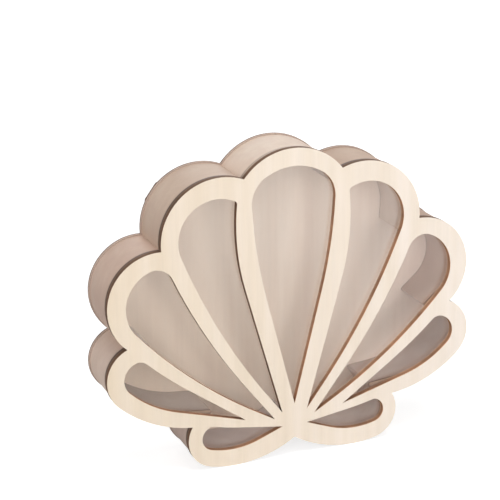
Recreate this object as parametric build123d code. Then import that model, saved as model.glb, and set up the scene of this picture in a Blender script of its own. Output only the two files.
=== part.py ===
from build123d import *

# Scallop-shell display case.
#
# A plywood fretwork front over a clear acrylic pane, a deep wall of solid
# basswood segments, and a plywood rear frame.  The back panel lifts out of
# the rear frame to the rear and is held in by four turn buttons.
#
# Millimetres.  +X to the right, +Z up, the fretwork faces -Y.  The origin is
# on the table, midway between the feet and midway through the depth.

import math
import os
from typing import NamedTuple

# Depth of the case, and the sheets that it is built from.
CASE_DEPTH = 51.0
FRONT_THICKNESS = 5.0
PANE_THICKNESS = 2.0
REAR_THICKNESS = 3.0

# How far each layer starts inside the outer edge of the fretwork.
PANE_SET_BACK = 0.3
WALL_SET_BACK = 1.0
WALL_THICKNESS = 10.0
REAR_RIM_WIDTH = 8.0

# The lift-out back panel.
PANEL_CLEARANCE = 0.3
FINGER_NOTCH_RADIUS = 9.0

# Circles of the lobes on the right; the left side mirrors them.
CROWN_RADIUS = 50.6
CROWN_Z = 198.8
SHOULDER_RADIUS = 47.8
SHOULDER_X = 58.2
SHOULDER_Z = 185.5
CHEEK_RADIUS = 41.3
CHEEK_X = 107.4
CHEEK_Z = 140.7
WING_RADIUS = 27.5
WING_X = 123.5
WING_Z = 84.2
FOOT_RADIUS = 23.8
FOOT_X = 64.5

# The wing runs on into a long belly arc, and the foot into a sole arc that
# stands on the table.  Each leaves its lobe at the angle given.
BELLY_RADIUS = 98.3
BELLY_ANGLE = -46.7
SOLE_RADIUS = 91.9
SOLE_ANGLE = -77.9

# Between two lobes an inner contour makes a mitred nose.  One that would reach
# further than this many times its inset from the valley is cut off blunt.
NOSE_LIMIT = 1.75
# Points of a contour that are closer than this are one point.
JOINED = 0.001

# The windows of the fretwork all point at the hub.
HUB_Z = 29.9

# Turn buttons and their pivots, on the rims of the shoulders and the bellies.
BUTTON_LENGTH = 20.0
BUTTON_WIDTH = 7.0
BUTTON_THICKNESS = 2.0
PIVOT_SET_BACK = 4.0
SHOULDER_PIVOT_ANGLE = 45.0
BELLY_PIVOT_ANGLE = -64.0
SCREW_RADIUS = 1.0
SCREW_GRIP = 8.0
SCREW_HEAD_RADIUS = 2.2
SCREW_HEAD_HEIGHT = 1.2
SCREW_HEAD_BEVEL = 0.7
WASHER_RADIUS = 2.7
WASHER_THICKNESS = 0.5
PILOT_CLEARANCE = 0.05
PIVOT_CLEARANCE = 0.08


class Circle2(NamedTuple):
    """A circle of the drawing: x to the right, z up."""

    x: float
    z: float
    radius: float


class Window(NamedTuple):
    """One teardrop opening of the fretwork, from its tip outwards.

    The tip is given from the hub.  The end is the lobe's own circle, drawn
    `end_inset` smaller and moved by `end_x` and `end_z`.  A side leaves the
    tip in a straight run over the share `ratio` of its chord, ends it `bow`
    clockwise of the chord, and bends into an arc that meets the end circle
    at `angle`, with a fillet.  Angles are in degrees.
    """

    tip_reach: float
    tip_angle: float
    end_inset: float
    end_x: float
    end_z: float
    upper_angle: float
    upper_ratio: float
    upper_bow: float
    upper_fillet: float
    lower_angle: float
    lower_ratio: float
    lower_bow: float
    lower_fillet: float


CROWN_WINDOW = Window(
    tip_reach=13.5, tip_angle=90.0,
    end_inset=6.2, end_x=0.0, end_z=-7.7,
    upper_angle=141.0, upper_ratio=0.52, upper_bow=-5.06, upper_fillet=23.5,
    lower_angle=39.0, lower_ratio=0.52, lower_bow=5.06, lower_fillet=23.5,
)
SHOULDER_WINDOW = Window(
    tip_reach=12.8, tip_angle=35.8,
    end_inset=16.7, end_x=3.2, end_z=0.5,
    upper_angle=120.5, upper_ratio=0.611, upper_bow=8.23, upper_fillet=2.7,
    lower_angle=-18.0, lower_ratio=0.152, lower_bow=2.84, lower_fillet=7.0,
)
CHEEK_WINDOW = Window(
    tip_reach=17.0, tip_angle=10.1,
    end_inset=11.1, end_x=-3.1, end_z=-1.2,
    upper_angle=94.3, upper_ratio=0.24, upper_bow=3.77, upper_fillet=14.3,
    lower_angle=-41.3, lower_ratio=0.096, lower_bow=1.98, lower_fillet=15.0,
)
WING_WINDOW = Window(
    tip_reach=41.8, tip_angle=9.2,
    end_inset=13.4, end_x=0.1, end_z=0.1,
    upper_angle=95.0, upper_ratio=0.529, upper_bow=1.93, upper_fillet=8.5,
    lower_angle=-43.8, lower_ratio=0.573, lower_bow=6.26, lower_fillet=8.0,
)
FOOT_WINDOW = Window(
    tip_reach=11.0, tip_angle=-22.5,
    end_inset=13.7, end_x=2.5, end_z=0.6,
    upper_angle=79.1, upper_ratio=0.602, upper_bow=0.76, upper_fillet=4.7,
    lower_angle=-74.5, lower_ratio=0.336, lower_bow=4.35, lower_fillet=4.0,
)


def beyond(tangent, radius, angle):
    """The larger circle round a lobe that touches it at this angle."""
    shift = radius - tangent.radius
    x = tangent.x - shift * math.cos(math.radians(angle))
    z = tangent.z - shift * math.sin(math.radians(angle))
    return Circle2(x, z, radius)


CROWN = Circle2(0, CROWN_Z, CROWN_RADIUS)
SHOULDER = Circle2(SHOULDER_X, SHOULDER_Z, SHOULDER_RADIUS)
CHEEK = Circle2(CHEEK_X, CHEEK_Z, CHEEK_RADIUS)
WING = Circle2(WING_X, WING_Z, WING_RADIUS)
BELLY = beyond(WING, BELLY_RADIUS, BELLY_ANGLE)
# The sole's lowest point is on the table, so its centre is its radius up.
FOOT_Z = SOLE_RADIUS + (SOLE_RADIUS - FOOT_RADIUS) * math.sin(math.radians(SOLE_ANGLE))
FOOT = Circle2(FOOT_X, FOOT_Z, FOOT_RADIUS)
SOLE = beyond(FOOT, SOLE_RADIUS, SOLE_ANGLE)

# Planes between the layers, front to back.
HARDWARE_HEIGHT = WASHER_THICKNESS + BUTTON_THICKNESS + SCREW_HEAD_HEIGHT
FRONT_Y = -(CASE_DEPTH + HARDWARE_HEIGHT) / 2
PANE_Y = FRONT_Y + FRONT_THICKNESS
WALL_Y = PANE_Y + PANE_THICKNESS
REAR_Y = FRONT_Y + CASE_DEPTH
LEDGE_Y = REAR_Y - REAR_THICKNESS
BUTTON_Y = REAR_Y + WASHER_THICKNESS
HEAD_Y = BUTTON_Y + BUTTON_THICKNESS


def on_circle(circle, angle, inset=0.0):
    """Point of a circle at an angle in degrees, `inset` inside its rim."""
    reach = circle.radius - inset
    x = circle.x + reach * math.cos(math.radians(angle))
    z = circle.z + reach * math.sin(math.radians(angle))
    return Vector(x, z)


def mirrored(circle):
    """The same circle on the other side of the centre line."""
    return Circle2(-circle.x, circle.z, circle.radius)


# Circles round the outline, clockwise from the crown.
RIGHT = [SHOULDER, CHEEK, WING, BELLY, FOOT, SOLE]
RING = [CROWN, *RIGHT, *(mirrored(circle) for circle in reversed(RIGHT))]

# Neighbouring circles at each valley on the right, from the crown down.
VALLEYS = [
    (CROWN, SHOULDER),
    (SHOULDER, CHEEK),
    (CHEEK, WING),
    (BELLY, FOOT),
    (SOLE, mirrored(SOLE)),
]


def meeting(first, second):
    """Outer point where two circles meet that follow each other clockwise."""
    centre = Vector(first.x, first.z)
    line = Vector(second.x, second.z) - centre
    ahead = line.normalized()
    squares = line.length**2 + first.radius**2 - second.radius**2
    along = squares / (2 * line.length)
    squared_height = first.radius**2 - along**2
    # Circles that only touch meet on the line through their centres.
    height = math.sqrt(squared_height) if squared_height > JOINED else 0
    return centre + ahead * along + Vector(-ahead.Y, ahead.X) * height


def facing(circle, point):
    """Direction from a circle's centre to a point."""
    return (point - Vector(circle.x, circle.z)).normalized()


def bearing(circle, point):
    """Angle in degrees at which a point lies from a circle's centre."""
    return math.degrees(math.atan2(point.Y - circle.z, point.X - circle.x))


def valley(first, second, depth):
    """Point `depth` straight in from the valley between two circles."""
    corner = meeting(first, second)
    outward = facing(first, corner) + facing(second, corner)
    return corner - outward.normalized() * depth


def nose(first, second, inset):
    """Corners of the nose that a contour `inset` inside two circles makes.

    The contour leaves each circle on the tangent at the valley, and the two
    tangents meet in a mitre or end at a blunt face across it.
    """
    corner = meeting(first, second)
    leave, join = facing(first, corner), facing(second, corner)
    middle = (leave + join).normalized()
    across = Vector(-middle.Y, middle.X)
    share = middle.dot(leave)
    reach = inset * min(1 / share, NOSE_LIMIT)
    tip = corner - middle * reach
    tips = [tip]
    if NOSE_LIMIT * share < 1:
        half_width = across * ((reach * share - inset) / across.dot(leave))
        tips = [tip + half_width, tip - half_width]
    return [corner - leave * inset, *tips, corner - join * inset]


def contour(inset):
    """Area inside the outline of the fretwork, drawn `inset` smaller."""
    edges = []
    for before, circle, after in zip([RING[-1], *RING], RING, [*RING[1:], RING[0]]):
        start = bearing(circle, meeting(before, circle))
        turn = (bearing(circle, meeting(circle, after)) - start) % -360
        edges.append(CenterArc((circle.x, circle.z), circle.radius - inset, start, turn))
        corners = nose(circle, after, inset)
        if (corners[0] - corners[-1]).length > JOINED:
            edges.append(Polyline(*corners))
    return make_face(edges)


def slab(face, front, rear):
    """Flat part cut from this drawing, standing between two depths."""
    standing = Rot(90, 0, 0) * extrude(face, rear - front, dir=(0, 0, 1))
    return Pos(0, rear, 0) * standing


def window_side(tip, corner, ratio, bow):
    """One side of a window: a straight run and the arc that follows it."""
    chord = corner - tip
    clockwise = Vector(chord.Y, -chord.X).normalized()
    knee = tip + chord * ratio + clockwise * bow
    return [Line(tip, knee), TangentArc(knee, corner, tangent=knee - tip)]


def round_corner(face, corner, radius):
    """Fillet the corner of a face that lies nearest to a point."""
    return fillet(face.vertices().sort_by_distance(corner)[0], radius)


def window(lobe, shape):
    """Face of one fretwork window."""
    end = Circle2(lobe.x + shape.end_x, lobe.z + shape.end_z, lobe.radius - shape.end_inset)
    tip = on_circle(Circle2(0, HUB_Z, shape.tip_reach), shape.tip_angle)
    upper = on_circle(end, shape.upper_angle)
    lower = on_circle(end, shape.lower_angle)
    turn = shape.lower_angle - shape.upper_angle
    edges = window_side(tip, upper, shape.upper_ratio, shape.upper_bow)
    edges.append(CenterArc((end.x, end.z), end.radius, shape.upper_angle, turn))
    edges += window_side(tip, lower, shape.lower_ratio, shape.lower_bow)
    face = make_face(edges)
    face = round_corner(face, upper, shape.upper_fillet)
    return round_corner(face, lower, shape.lower_fillet)


def front_frame():
    """Fretwork of five kinds of window, fanned out from the hub."""
    half = window(SHOULDER, SHOULDER_WINDOW)
    half += window(CHEEK, CHEEK_WINDOW)
    half += window(WING, WING_WINDOW)
    half += window(FOOT, FOOT_WINDOW)
    windows = window(CROWN, CROWN_WINDOW) + half + mirror(half, about=Plane.YZ)
    return slab(contour(0) - windows, FRONT_Y, PANE_Y)


def window_pane():
    """Clear acrylic sheet behind the fretwork."""
    return slab(contour(PANE_SET_BACK), PANE_Y, WALL_Y)


def wall_sector(start, end):
    """Area of one wall segment, between the mitre lines of two valleys."""
    inside = 2 * NOSE_LIMIT * WALL_THICKNESS
    outside = -CROWN_RADIUS - SHOULDER_RADIUS
    corners = [
        valley(*start, inside),
        valley(*start, outside),
        valley(*end, outside),
        valley(*end, inside),
    ]
    return make_face(Polyline(*corners, close=True))


def wall_segment(band, start, end, pilots):
    """One basswood segment of the wall, bored for any pivot screw in it."""
    body = slab(band & wall_sector(start, end), WALL_Y, LEDGE_Y)
    return body - pilots


def pivots():
    """Pivot point and parked angle of each turn button, by name."""
    shoulder = on_circle(SHOULDER, SHOULDER_PIVOT_ANGLE, PIVOT_SET_BACK)
    belly = on_circle(BELLY, BELLY_PIVOT_ANGLE, PIVOT_SET_BACK)
    return {
        "shoulder": (shoulder, SHOULDER_PIVOT_ANGLE - 90 - parked_lean(SHOULDER)),
        "belly": (belly, BELLY_PIVOT_ANGLE - 90 - parked_lean(BELLY)),
    }


def parked_lean(circle):
    """How far a parked button leans in from the tangent to stay on the rim."""
    half_span = (BUTTON_LENGTH - BUTTON_WIDTH) / 2
    return math.degrees(math.asin(half_span / (circle.radius - PIVOT_SET_BACK)))


def turn_button(point, angle):
    """Plywood button with round ends, bored at its inner end for the pivot."""
    span = BUTTON_LENGTH - BUTTON_WIDTH
    blank = Pos(span / 2, 0) * SlotCenterToCenter(span, BUTTON_WIDTH)
    blank -= Circle(SCREW_RADIUS + PIVOT_CLEARANCE)
    placed = Pos(point.X, point.Y) * Rot(0, 0, angle) * blank
    return slab(placed, BUTTON_Y, HEAD_Y)


def washer(point):
    """Brass washer that keeps a button clear of the rear frame and panel."""
    ring = Circle(WASHER_RADIUS) - Circle(SCREW_RADIUS + PILOT_CLEARANCE)
    return slab(Pos(point.X, point.Y) * ring, REAR_Y, BUTTON_Y)


def pivot_screw(point):
    """Round-head screw through button, washer and rear frame into the wall."""
    spot = Pos(point.X, point.Y)
    shank = slab(spot * Circle(SCREW_RADIUS), LEDGE_Y - SCREW_GRIP, HEAD_Y)
    head = slab(spot * Circle(SCREW_HEAD_RADIUS), HEAD_Y, HEAD_Y + SCREW_HEAD_HEIGHT)
    rim = head.faces().sort_by(Axis.Y)[-1].edges()
    return shank + chamfer(rim, SCREW_HEAD_BEVEL)


def pilot_hole(point):
    """Hole for a pivot screw through the rear frame and into the wall."""
    bore = Circle(SCREW_RADIUS + PILOT_CLEARANCE)
    return slab(Pos(point.X, point.Y) * bore, LEDGE_Y - SCREW_GRIP - PILOT_CLEARANCE, REAR_Y)


def rear_frame(pilots):
    """Plywood frame whose opening the back panel seats in."""
    return slab(contour(0) - contour(REAR_RIM_WIDTH), LEDGE_Y, REAR_Y) - pilots


def back_panel():
    """Plywood panel that rests on the rear edge of the wall."""
    inset = REAR_RIM_WIDTH + PANEL_CLEARANCE
    notch = on_circle(CROWN, 90, inset)
    face = contour(inset) - Pos(notch.X, notch.Y) * Circle(FINGER_NOTCH_RADIUS)
    return slab(face, LEDGE_Y, REAR_Y)


def build():
    """All parts by node name."""
    parts = {
        "front_frame": front_frame(),
        "window_pane": window_pane(),
        "back_panel": back_panel(),
    }
    sides = {"left": -1, "right": 1}
    pilots = Part()
    for place, (point, angle) in pivots().items():
        for side, sign in sides.items():
            spot = Vector(sign * point.X, point.Y)
            turned = angle if side == "right" else 180 - angle
            pilots += pilot_hole(spot)
            parts[f"turn_button_{place}_{side}"] = turn_button(spot, turned)
            parts[f"pivot_washer_{place}_{side}"] = washer(spot)
            parts[f"pivot_screw_{place}_{side}"] = pivot_screw(spot)
    parts["rear_frame"] = rear_frame(pilots)

    band = contour(WALL_SET_BACK) - contour(WALL_SET_BACK + WALL_THICKNESS)
    top = tuple(mirrored(circle) for circle in reversed(VALLEYS[0]))
    parts["wall_crown"] = wall_segment(band, top, VALLEYS[0], pilots)
    names = ["shoulder", "cheek", "wing", "foot"]
    for name, start, end in zip(names, VALLEYS, VALLEYS[1:]):
        segment = wall_segment(band, start, end, pilots)
        parts[f"wall_{name}_right"] = segment
        parts[f"wall_{name}_left"] = mirror(segment, about=Plane.YZ)
    return parts


def main():
    """Write one STEP file for each part."""
    os.makedirs("parts", exist_ok=True)
    for name, part in build().items():
        export_step(part, os.path.join("parts", f"{name}.step"))


main()
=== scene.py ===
import math

import bpy
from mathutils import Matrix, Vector

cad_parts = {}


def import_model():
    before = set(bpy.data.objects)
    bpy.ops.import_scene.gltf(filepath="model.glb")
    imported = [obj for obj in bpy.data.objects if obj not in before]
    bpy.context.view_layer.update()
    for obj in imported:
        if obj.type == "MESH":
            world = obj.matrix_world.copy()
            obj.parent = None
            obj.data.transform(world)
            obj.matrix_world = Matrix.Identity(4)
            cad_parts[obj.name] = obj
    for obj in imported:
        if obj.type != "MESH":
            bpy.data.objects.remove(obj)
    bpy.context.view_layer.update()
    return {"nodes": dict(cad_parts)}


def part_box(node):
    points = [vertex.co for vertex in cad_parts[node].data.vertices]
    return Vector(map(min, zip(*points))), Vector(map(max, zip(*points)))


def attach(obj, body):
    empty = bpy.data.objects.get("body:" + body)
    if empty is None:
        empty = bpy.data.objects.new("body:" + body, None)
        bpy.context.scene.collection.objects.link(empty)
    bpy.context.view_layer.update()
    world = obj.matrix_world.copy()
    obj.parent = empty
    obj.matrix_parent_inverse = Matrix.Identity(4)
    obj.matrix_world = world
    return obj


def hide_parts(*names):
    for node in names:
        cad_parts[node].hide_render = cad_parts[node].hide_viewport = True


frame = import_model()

NODES = frame["nodes"]

# Lengths are in metres. The fretwork faces -Y and its grain runs up the case.
MM = 0.001

CAMERA_PLACE = (-0.44837, -1.07619, 0.54527)
CAMERA_TURN = (71.788, 0.648, -21.675)
CAMERA_LENS = 114.15

# Across the shell, from its middle to about its side.
HALF_WIDTH = 150 * MM
# The middle of the shell: the outside of its wall looks away from here, and the inside towards it.
SHELL_MIDDLE = (0, 0, 130 * MM)
# Painted highlight: the pane's cut edge is drawn light round this point of the crown.
PANE_RIM_HIGHLIGHT_AT = (-20 * MM, -21 * MM, 244 * MM)


# ---------------------------------------------------------------- node helpers


def linear(red, green, blue):
    """A colour written as the eye sees it, 0 to 255, as the shader takes it."""
    def channel(value):
        share = value / 255
        return share / 12.92 if share <= 0.04045 else ((share + 0.055) / 1.055) ** 2.4

    return (channel(red), channel(green), channel(blue), 1.0)


class Shader:
    """One material's node tree, where each call adds a node and gives back its result."""

    def __init__(self, name):
        self.material = bpy.data.materials.new(name)
        self.material.use_nodes = True
        self.tree = self.material.node_tree
        self.tree.nodes.clear()

    def add(self, kind, inputs=None, **settings):
        node = self.tree.nodes.new("ShaderNode" + kind)
        for name, value in settings.items():
            setattr(node, name, value)
        for name, value in (inputs or {}).items():
            if isinstance(value, bpy.types.NodeSocket):
                self.tree.links.new(value, node.inputs[name])
            else:
                node.inputs[name].default_value = value
        return node

    def place(self):
        return self.add("TexCoord").outputs["Object"]

    def part(self, vector, axis):
        """One of a vector's three numbers, X, Y or Z."""
        return self.add("SeparateXYZ", {0: vector}).outputs[axis]

    def facing(self):
        """How far a face looks along +Y: 1 to the rear, -1 to the front, 0 on the cut edges."""
        return self.part(self.add("NewGeometry").outputs["True Normal"], "Y")

    def depth(self):
        return self.part(self.place(), "Y")

    def math(self, operation, first, second=0.0):
        return self.add("Math", {0: first, 1: second}, operation=operation).outputs[0]

    def spread(self, value, low, high, to_low=0.0, to_high=1.0):
        """value, carried from the range low to high onto to_low to to_high, and held there."""
        inputs = {"Value": value, "From Min": low, "From Max": high, "To Min": to_low, "To Max": to_high}
        return self.add("MapRange", inputs).outputs["Result"]

    def noise(self, size, detail=2.0, seed=0.0, warp=0.0):
        """Noise whose patches are size = (x, y, z) metres across."""
        scale = tuple(1 / s for s in size)
        shift = (seed, seed * 0.7, seed * 1.3)
        mapped = self.add("Mapping", {"Vector": self.place(), "Location": shift, "Scale": scale})
        inputs = {"Vector": mapped.outputs[0], "Scale": 1.0, "Detail": detail}
        inputs |= {"Roughness": 0.55, "Distortion": warp}
        return self.add("TexNoise", inputs).outputs[0]

    def ramp(self, value, stops):
        """A colour that goes through stops = [(place, colour), ...]."""
        node = self.add("ValToRGB", {"Fac": value})
        points = node.color_ramp.elements
        while len(points) < len(stops):
            points.new(0.5)
        for point, (place, colour) in zip(points, stops):
            point.position = place
            point.color = colour
        return node.outputs["Color"]

    def blend(self, share, first, second):
        """A colour that goes from first to second as share goes from 0 to 1."""
        return self.add("Mix", {0: share, 6: first, 7: second}, data_type="RGBA").outputs[2]

    def between(self, share, first, second):
        """A number that goes from first to second as share goes from 0 to 1."""
        return self.add("Mix", {0: share, 2: first, 3: second}, data_type="FLOAT").outputs[0]

    def tinted(self, colour, tint):
        """colour, as seen through a filter of that tint."""
        inputs = {0: 1.0, 6: colour, 7: tint}
        return self.add("Mix", inputs, data_type="RGBA", blend_type="MULTIPLY").outputs[2]

    def shaded(self, colour, value):
        """colour, made value times as bright."""
        grey = self.add("CombineColor", {"Red": value, "Green": value, "Blue": value}).outputs[0]
        return self.tinted(colour, grey)

    def fronting(self):
        """1 on faces that look along Y, 0 on the cut edges round them."""
        return self.spread(self.math("ABSOLUTE", self.facing()), 0.6, 0.9)

    def outward(self):
        """1 on faces that look away from the shell's middle, 0 on those that look towards it."""
        normal = self.add("NewGeometry").outputs["True Normal"]
        away = self.add("VectorMath", {0: self.place(), 1: SHELL_MIDDLE}, operation="SUBTRACT").outputs[0]
        facing = self.add("VectorMath", {0: normal, 1: away}, operation="DOT_PRODUCT").outputs["Value"]
        return self.spread(facing, -MM, MM)

    def bump(self, height, strength, reach):
        inputs = {"Height": height, "Strength": strength, "Distance": reach}
        return self.add("Bump", inputs).outputs["Normal"]

    def finish(self, surface):
        self.add("OutputMaterial", {"Surface": surface})
        return self.material


# ------------------------------------------------------------------- materials


def wood_grain(shader, tones, strength, seed):
    """Close, pale timber whose grain runs up the case: (colour, height of the grain)."""
    def size(across, length):
        return (across, across, length)

    broad = shader.noise(size(14 * MM, 150 * MM), 2.0, seed)
    middle = shader.noise(size(3.2 * MM, 90 * MM), 3.0, seed + 3.1, 0.4)
    fine = shader.noise(size(0.55 * MM, 22 * MM), 3.0, seed + 7.7)
    pores = shader.noise(size(0.28 * MM, 2.6 * MM), 1.0, seed + 5.3)
    colour = shader.ramp(broad, [(0.28, tones[0]), (0.5, tones[1]), (0.72, tones[2])])
    light = shader.spread(middle, 0.3, 0.7, 1 - 0.05 * strength, 1 + 0.025 * strength)
    lines = shader.spread(fine, 0.3, 0.7, 1 - 0.035 * strength, 1 + 0.02 * strength)
    specks = shader.spread(pores, 0.66, 0.8, 1.0, 1 - 0.14 * strength)
    light = shader.math("MULTIPLY", shader.math("MULTIPLY", light, lines), specks)
    height = shader.math("SUBTRACT", fine, shader.spread(pores, 0.62, 0.8))
    return shader.shaded(colour, light), height


# Painted shadow and shade on the wall just behind the overhanging frame and pane.
OVERHANG_SHADOW = linear(78, 55, 42)
OVERHANG_SHADE_WARM = linear(160, 122, 98)
# Painted shade in the inside corner at the wall's rear end.
INNER_CORNER_SHADE = linear(112, 90, 80)
# Painted shade for the rear sheet's forward face.
LEDGE_PAINTED_SHADE = linear(178, 158, 146)
# Painted shade for the plywood's outer cut edges.
OUTER_EDGE_SHADE = linear(164, 164, 164)
# Painted light across the plywood: warmer and darker at the left, cooler and lighter at the right.
PAINTED_SHADE_LEFT, PAINTED_LIGHT_RIGHT = linear(242, 238, 227), linear(254, 255, 255)
FACE_TONES = [linear(242, 227, 211), linear(247, 233, 219), linear(250, 237, 226)]
# The back panel's veneer: a little pinker than the face veneer, and lighter as painted light inside the
# case.
PANEL_TONES_PAINTED_LIGHTER = [linear(245, 228, 220), linear(250, 235, 227), linear(252, 239, 232)]
TIMBER_TONES = [linear(245, 223, 207), linear(250, 229, 214), linear(254, 236, 222)]
TIMBER_CLOUD = linear(240, 216, 204)

# Colours through the cut edge of a ply sheet, from its front face to its rear face: laser scorch, with
# painted light in the lighter bands at both faces, a painted highlight by the front face and painted light
# on the rear half.
SCORCH_AND_PAINTED_LIGHT = [
    (0.0, linear(220, 174, 140)),
    (0.14, linear(184, 138, 106)),
    (0.3, linear(160, 116, 86)),
    (0.34, linear(138, 100, 74)),
    (0.38, linear(158, 115, 87)),
    (0.66, linear(168, 128, 101)),
    (0.7, linear(150, 114, 91)),
    (0.76, linear(180, 141, 115)),
    (1.0, linear(196, 160, 134)),
]
# The rear sheet was cut from behind, so only its rear edge is dark.
LIGHTLY_SCORCHED = [
    (0.0, linear(212, 190, 174)),
    (0.5, linear(196, 170, 154)),
    (0.7, linear(128, 102, 88)),
    (1.0, linear(84, 64, 54)),
]


def char_and_painted_light(shader, low, high, stops, seed):
    """The scorched edge that the laser leaves on plywood between two depths, with any painted light that
    the stops hold: (colour, height).
    """
    plies = shader.ramp(shader.spread(shader.depth(), low, high), stops)
    patches = shader.noise((16 * MM, 40 * MM, 16 * MM), 2.0, seed)
    streaks = shader.noise((0.7 * MM, 9 * MM, 0.7 * MM), 2.0, seed + 2.2)
    light = shader.math(
        "MULTIPLY",
        shader.spread(patches, 0.3, 0.7, 0.8, 1.22),
        shader.spread(streaks, 0.3, 0.7, 0.86, 1.12),
    )
    return shader.shaded(plies, light), streaks


def plywood(name, node, tones, seed, edge=SCORCH_AND_PAINTED_LIGHT):
    """Laser-cut plywood: pale veneer on its two faces, scorched plies round its edges, with painted light
    and shade on both.
    """
    shader = Shader(name)
    low, high = (corner.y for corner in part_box(node))
    face = shader.fronting()
    veneer, grain = wood_grain(shader, tones, 0.5, seed)
    # Painted shading across the case, from warmer and darker at the left to cooler and lighter at the
    # right.
    across = shader.spread(shader.part(shader.place(), "X"), -HALF_WIDTH, HALF_WIDTH)
    veneer = shader.tinted(veneer, shader.ramp(across, [(0.0, PAINTED_SHADE_LEFT), (1.0, PAINTED_LIGHT_RIGHT)]))
    edge_colour, streaks = char_and_painted_light(shader, low, high, edge, seed)
    if edge is LIGHTLY_SCORCHED:
        # Painted shade: the rear sheet's face that looks forward is drawn greyer and darker than its rear
        # face.
        forward = shader.spread(shader.facing(), -0.9, -0.6, 1.0, 0.0)
        veneer = shader.blend(forward, veneer, LEDGE_PAINTED_SHADE)
    else:
        # Painted shade: the outer cut edges, which look away from the shell's middle, are drawn darker
        # than the window edges.
        edge_colour = shader.blend(shader.outward(), edge_colour, shader.tinted(edge_colour, OUTER_EDGE_SHADE))
    rough = shader.math("ADD", face, shader.math("MULTIPLY", grain, 0.3))
    surface = shader.add("BsdfPrincipled", {
        "Base Color": shader.blend(face, edge_colour, veneer),
        "Roughness": shader.spread(rough, 0.0, 1.3, 0.82, 0.56),
        "Specular IOR Level": 0.35,
        "Normal": shader.bump(shader.between(face, streaks, grain), 0.35, 0.12 * MM),
    })
    return shader.finish(surface.outputs[0])


def wall_timber(node, seed, tint, painted_inside_shade):
    """A wall segment: timber with one tint outside and another inside, both holding painted light and
    shade, with painted shadow behind its front end and painted shade in its inner rear corner.
    """
    shader = Shader(node + "_timber")
    front, rear = (corner.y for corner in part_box(node))
    depth, outer = shader.depth(), shader.outward()
    wood, grain = wood_grain(shader, TIMBER_TONES, 0.7, seed)
    cloud = shader.noise((18 * MM, 26 * MM, 18 * MM), 3.0, seed + 9.4, 0.6)
    wood = shader.blend(shader.spread(cloud, 0.38, 0.7, 0.0, 0.5), wood, TIMBER_CLOUD)
    # Painted shade: the inside of the wall darkens in its last millimetre, in the corner at its rear end.
    corner = shader.spread(depth, rear - 1.0 * MM, rear - 0.4 * MM, 0.0, 0.55)
    inside = shader.blend(corner, shader.tinted(wood, linear(*painted_inside_shade)), INNER_CORNER_SHADE)
    # Painted light and shade: the segment's own tints inside and outside.
    wood = shader.blend(outer, inside, shader.tinted(wood, linear(*tint)))
    # Painted shade and shadow behind the overhanging frame and pane: a warm brown fading back from the
    # wall's front end, and a dark band just behind it, strong outside and slight inside.
    warm_shade = shader.spread(depth, front + 1.5 * MM, front + 5 * MM, 0.3, 0.0)
    wood = shader.blend(warm_shade, wood, OVERHANG_SHADE_WARM)
    deep_shadow = shader.spread(depth, front + 1.2 * MM, front + 2.8 * MM, 0.95, 0.0)
    slight_shadow = shader.spread(depth, front + 1.0 * MM, front + 1.5 * MM, 0.6, 0.0)
    # The painted shadow hardly reaches the wall's front end, which the pane is glued to.
    glued = shader.spread(shader.fronting(), 0.0, 1.0, 1.0, 0.15)
    painted_shadow = shader.math("MULTIPLY", shader.between(outer, slight_shadow, deep_shadow), glued)
    surface = shader.add("BsdfPrincipled", {
        "Base Color": shader.blend(painted_shadow, wood, OVERHANG_SHADOW),
        "Roughness": shader.spread(grain, 0.2, 0.8, 0.66, 0.55),
        "Specular IOR Level": 0.35,
        "Normal": shader.bump(grain, 0.3, 0.1 * MM),
    })
    return shader.finish(surface.outputs[0])


def acrylic():
    """The clear pane. Lamps shine through it, and its cut edge is drawn dark as painted shade, with a
    painted highlight on the crown.
    """
    shader = Shader("acrylic")
    haze = shader.noise((30 * MM, 30 * MM, 30 * MM), 3.0, 4.0, 0.5)
    wave = shader.noise((60 * MM, 60 * MM, 60 * MM), 1.0, 8.0)
    clear = shader.add("BsdfPrincipled", {
        "Base Color": linear(252, 251, 249),
        "Roughness": shader.spread(haze, 0.3, 0.7, 0.02, 0.07),
        "IOR": 1.58,
        "Transmission Weight": 1.0,
        "Normal": shader.bump(wave, 0.15, 0.4 * MM),
    })
    lamps = shader.add("BsdfTransparent", {"Color": linear(252, 251, 249)})
    path = shader.add("LightPath")
    passed = shader.math("MAXIMUM", path.outputs["Is Shadow Ray"], path.outputs["Is Diffuse Ray"])
    sheet = shader.add("MixShader", {0: passed, 1: clear.outputs[0], 2: lamps.outputs[0]})
    # Painted shade on the pane's cut edge: dark brown streaks, lightened near the crown's top into a
    # painted highlight.
    streaks = shader.noise((0.9 * MM, 6 * MM, 0.9 * MM), 2.0, 6.0)
    edge_colour = shader.ramp(streaks, [(0.3, linear(58, 38, 28)), (0.7, linear(84, 60, 46))])
    ends = {0: shader.place(), 1: PANE_RIM_HIGHLIGHT_AT}
    away = shader.add("VectorMath", ends, operation="DISTANCE").outputs["Value"]
    rim_highlight = shader.spread(away, 18 * MM, 34 * MM, 0.9, 0.0)
    rim = shader.add("BsdfPrincipled", {
        "Base Color": shader.blend(rim_highlight, edge_colour, linear(214, 190, 170)),
        "Roughness": shader.spread(streaks, 0.3, 0.7, 0.4, 0.55),
        "Specular IOR Level": 0.25,
    })
    surface = shader.add("MixShader", {0: shader.fronting(), 1: rim.outputs[0], 2: sheet.outputs[0]})
    return shader.finish(surface.outputs[0])


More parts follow.
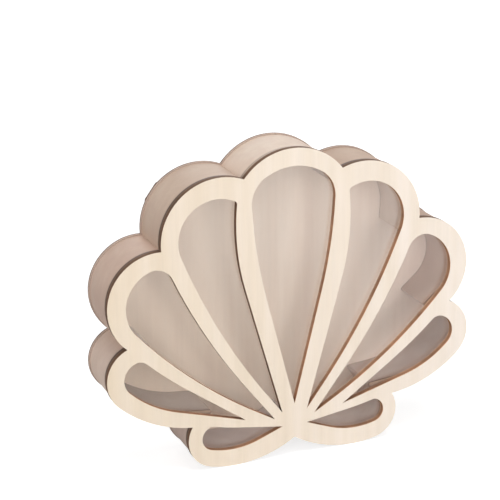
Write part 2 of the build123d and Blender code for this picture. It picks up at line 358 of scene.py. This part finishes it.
def brass():
    """Turned brass with a fine spun finish, a little dulled."""
    shader = Shader("brass")
    tarnish = shader.noise((1.6 * MM, 1.6 * MM, 1.6 * MM), 3.0, 1.0, 0.4)
    spun = shader.noise((0.12 * MM, 0.9 * MM, 0.12 * MM), 1.0, 2.0)
    surface = shader.add("BsdfPrincipled", {
        "Base Color": shader.ramp(tarnish, [(0.3, linear(196, 158, 92)), (0.7, linear(224, 190, 124))]),
        "Metallic": 1.0,
        "Roughness": shader.spread(tarnish, 0.3, 0.7, 0.38, 0.24),
        "Normal": shader.bump(spun, 0.15, 0.02 * MM),
    })
    return shader.finish(surface.outputs[0])


# ----------------------------------------------------------- meshes and screws


SHANK_RADIUS = 1 * MM
HEAD_HEIGHT = 1.2 * MM
SLOT_WIDTH, SLOT_DEPTH = 0.65 * MM, 0.6 * MM
SCREW_TURNS = (24, 71, -38, 52)


def solid(name, points, faces):
    """A mesh object, made from its points and faces."""
    mesh = bpy.data.meshes.new(name)
    mesh.from_pydata(points, [], faces)
    made = bpy.data.objects.new(name, mesh)
    bpy.context.scene.collection.objects.link(made)
    return made


def turned(name, profile, centre, sides=48):
    """A closed piece turned about the Y axis through centre, from profile = [(radius, y), ...]."""
    points, faces = [], []
    for radius, y in profile:
        for i in range(sides):
            angle = math.tau * i / sides
            points.append((centre.x + radius * math.cos(angle), y, centre.z + radius * math.sin(angle)))
    for ring in range(len(profile) - 1):
        for i in range(sides):
            a, b = ring * sides + i, ring * sides + (i + 1) % sides
            faces.append((a, a + sides, b + sides, b))
    faces.append(list(range(sides)))
    faces.append([len(points) - 1 - i for i in range(sides)])
    return solid(name, points, faces)


def slot_cutter(top, reach, angle):
    """The block that cuts a screw's slot. It reaches that far to each side of the head's top."""
    along = Vector((math.cos(angle), 0, math.sin(angle))) * reach
    across = Vector((-along.z, 0, along.x)).normalized() * SLOT_WIDTH / 2
    points = []
    for y in (-SLOT_DEPTH, MM):
        for end, side in ((-1, -1), (1, -1), (1, 1), (-1, 1)):
            points.append(top + end * along + side * across + Vector((0, y, 0)))
    faces = [(0, 1, 2, 3), (7, 6, 5, 4), (0, 4, 5, 1), (1, 5, 6, 2), (2, 6, 7, 3), (3, 7, 4, 0)]
    return solid("slot_cutter", points, faces)


def slotted_screw(node, turn):
    """A round-head screw in the CAD screw's place, with a slot across its head at that turn in degrees."""
    low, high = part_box(node)
    centre, radius = (low + high) / 2, (high.x - low.x) / 2
    under = high.y - HEAD_HEIGHT
    profile = [(SHANK_RADIUS, low.y), (SHANK_RADIUS, under), (radius, under)]
    for t in (0, 0.35, 0.65, 0.88, 1):
        profile.append((radius * (1 - 0.3 * t * t), under + HEAD_HEIGHT * (0.4 + 0.6 * t)))
    screw = turned(node + "_slotted", profile, centre)
    cutter = slot_cutter(Vector((centre.x, high.y, centre.z)), 1.5 * radius, math.radians(turn))
    cut = screw.modifiers.new("slot", "BOOLEAN")
    cut.object, cut.operation, cut.solver = cutter, "DIFFERENCE", "EXACT"
    bpy.context.view_layer.update()
    shaped = screw.evaluated_get(bpy.context.evaluated_depsgraph_get())
    mesh = bpy.data.meshes.new_from_object(shaped)
    screw.modifiers.clear()
    screw.data = mesh
    bpy.data.objects.remove(cutter)
    mesh.materials.append(BRASS)
    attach(screw, "case")
    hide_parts(node)


# --------------------------------------------------------------- dressing nodes


def dress(material, *names):
    """Gives CAD nodes their material."""
    for name in names:
        slots = NODES[name].data.materials
        slots.clear()
        slots.append(material)


def named(start):
    """The names of the CAD nodes that begin so."""
    return [name for name in NODES if name.startswith(start)]


# The tint of each wall segment's timber, outside and inside: painted light and shade with a little
# board-to-board variation. Outside the crown is lightest; inside the low wing and foot pockets are darker.
WALL_LIGHT_AND_SHADE_TINTS = {
    "wall_crown": ((240, 238, 233), (218, 226, 235)),
    "wall_shoulder_left": ((213, 206, 198), (222, 230, 239)),
    "wall_shoulder_right": ((206, 195, 184), (230, 235, 241)),
    "wall_cheek_left": ((213, 203, 197), (218, 226, 235)),
    "wall_cheek_right": ((200, 188, 178), (214, 212, 216)),
    "wall_wing_left": ((230, 225, 221), (197, 203, 211)),
    "wall_wing_right": ((226, 221, 216), (211, 216, 226)),
    "wall_foot_left": ((206, 201, 200), (209, 214, 226)),
    "wall_foot_right": ((224, 220, 216), (216, 222, 233)),
}

dress(plywood("front_ply", "front_frame", FACE_TONES, 0.0), "front_frame")
dress(plywood("rear_ply", "rear_frame", FACE_TONES, 20.0, LIGHTLY_SCORCHED), "rear_frame")
dress(plywood("panel_ply", "back_panel", PANEL_TONES_PAINTED_LIGHTER, 40.0), "back_panel")
for index, (name, painted_tints) in enumerate(WALL_LIGHT_AND_SHADE_TINTS.items()):
    dress(wall_timber(name, 60.0 + 3 * index, *painted_tints), name)
dress(acrylic(), "window_pane")
for index, name in enumerate(named("turn_button_")):
    dress(plywood("button_ply", name, FACE_TONES, 80.0 + 5 * index), name)
BRASS = brass()
dress(BRASS, *named("pivot_washer_"))
for node, turn in zip(named("pivot_screw_"), SCREW_TURNS):
    slotted_screw(node, turn)


# -------------------------------------------------------------- stage and light


FLOOR_REACH, FLOOR_SIDES = 6.0, 64
FLOOR_HEIGHT = -0.05 * MM
FLOOR_COLOUR, FLOOR_GLOW = linear(205, 205, 205), 0.74
AMBIENT = 0.12
LAMPS_AIM = Vector((0, 0, 0.12))
# Each lamp's place, its width, both in metres, and its power in watts.
LAMPS = {
    "front": ((0, -2.2, 0.5), 1.4, 17.5),
    "left": ((-1.5, -1.6, 0.9), 1.2, 13.4),
    "right": ((1.5, -1.6, 0.9), 1.2, 10.6),
    "side": ((-2.3, -0.35, 0.45), 1.0, 9),
    "back": ((0.6, 2.2, 0.9), 1.4, 14),
    "above": ((0, -0.5, 2.2), 1.2, 20),
}


def backdrop_shader(name, colour, glow):
    """A pale surface that the camera sees as white where nothing shades it."""
    shader = Shader(name)
    mottle = shader.noise((0.4, 0.4, 0.4), 2.0, 3.0)
    paper = shader.shaded(colour, shader.spread(mottle, 0.3, 0.7, 0.99, 1.0))
    plain = shader.add("BsdfDiffuse", {"Color": paper})
    path = shader.add("LightPath")
    # The glow rises with the distance, so that the far floor is as white as the world behind it.
    away = shader.add("VectorMath", {0: shader.place()}, operation="LENGTH").outputs["Value"]
    glow = shader.spread(away, 0.7, 2.0, glow, 1.0)
    # Reflections show the glow only well in front of the case, which keeps the low windows clear.
    ahead = shader.spread(shader.depth(), -0.2, -0.5)
    mirrored = shader.math("MULTIPLY", path.outputs["Is Glossy Ray"], ahead)
    seen = shader.math("MAXIMUM", path.outputs["Is Camera Ray"], mirrored)
    light = shader.add("Emission", {"Strength": shader.math("MULTIPLY", seen, glow)})
    both = shader.add("AddShader", {0: plain.outputs[0], 1: light.outputs[0]})
    return shader.finish(both.outputs[0])


def floor():
    """A round sheet of pale paper, a hair below the case's feet."""
    ring = []
    for i in range(FLOOR_SIDES):
        angle = math.tau * i / FLOOR_SIDES
        ring.append((FLOOR_REACH * math.cos(angle), FLOOR_REACH * math.sin(angle), FLOOR_HEIGHT))
    made = solid("floor", ring, [range(FLOOR_SIDES)])
    made.data.materials.append(backdrop_shader("floor_paper", FLOOR_COLOUR, FLOOR_GLOW))


def lamp(name, place, size, power):
    """A soft round lamp that looks at the case."""
    data = bpy.data.lights.new(name, "AREA")
    data.shape = "DISK"
    data.size = size
    data.energy = power
    made = bpy.data.objects.new(name, data)
    made.location = place
    made.rotation_euler = (LAMPS_AIM - Vector(place)).to_track_quat("-Z", "Y").to_euler()
    bpy.context.scene.collection.objects.link(made)


def world(ambient):
    """Even light all round, white where the camera, a reflection or the glass shows it."""
    made = bpy.data.worlds.new("studio")
    bpy.context.scene.world = made
    made.use_nodes = True
    nodes, links = made.node_tree.nodes, made.node_tree.links
    background = nodes["Background"]
    path = nodes.new("ShaderNodeLightPath")
    seen = path.outputs["Is Camera Ray"]
    for ray in ("Is Glossy Ray", "Is Transmission Ray"):
        larger = nodes.new("ShaderNodeMath")
        larger.operation = "MAXIMUM"
        links.new(seen, larger.inputs[0])
        links.new(path.outputs[ray], larger.inputs[1])
        seen = larger.outputs[0]
    strength = nodes.new("ShaderNodeMapRange")
    strength.inputs["To Min"].default_value = ambient
    strength.inputs["To Max"].default_value = 1.0
    links.new(seen, strength.inputs["Value"])
    links.new(strength.outputs[0], background.inputs["Strength"])
    background.inputs["Color"].default_value = (1, 1, 1, 1)


def camera():
    """The photograph's point of view."""
    data = bpy.data.cameras.new("camera")
    data.lens = CAMERA_LENS
    data.sensor_width = 36
    data.clip_start, data.clip_end = 0.05, 50
    made = bpy.data.objects.new("camera", data)
    made.location = CAMERA_PLACE
    made.rotation_euler = [math.radians(turn) for turn in CAMERA_TURN]
    bpy.context.scene.collection.objects.link(made)
    bpy.context.scene.camera = made


floor()
world(AMBIENT)
for name, (place, size, power) in LAMPS.items():
    lamp(name, place, size, power)
camera()
bpy.context.scene.view_settings.view_transform = "Standard"
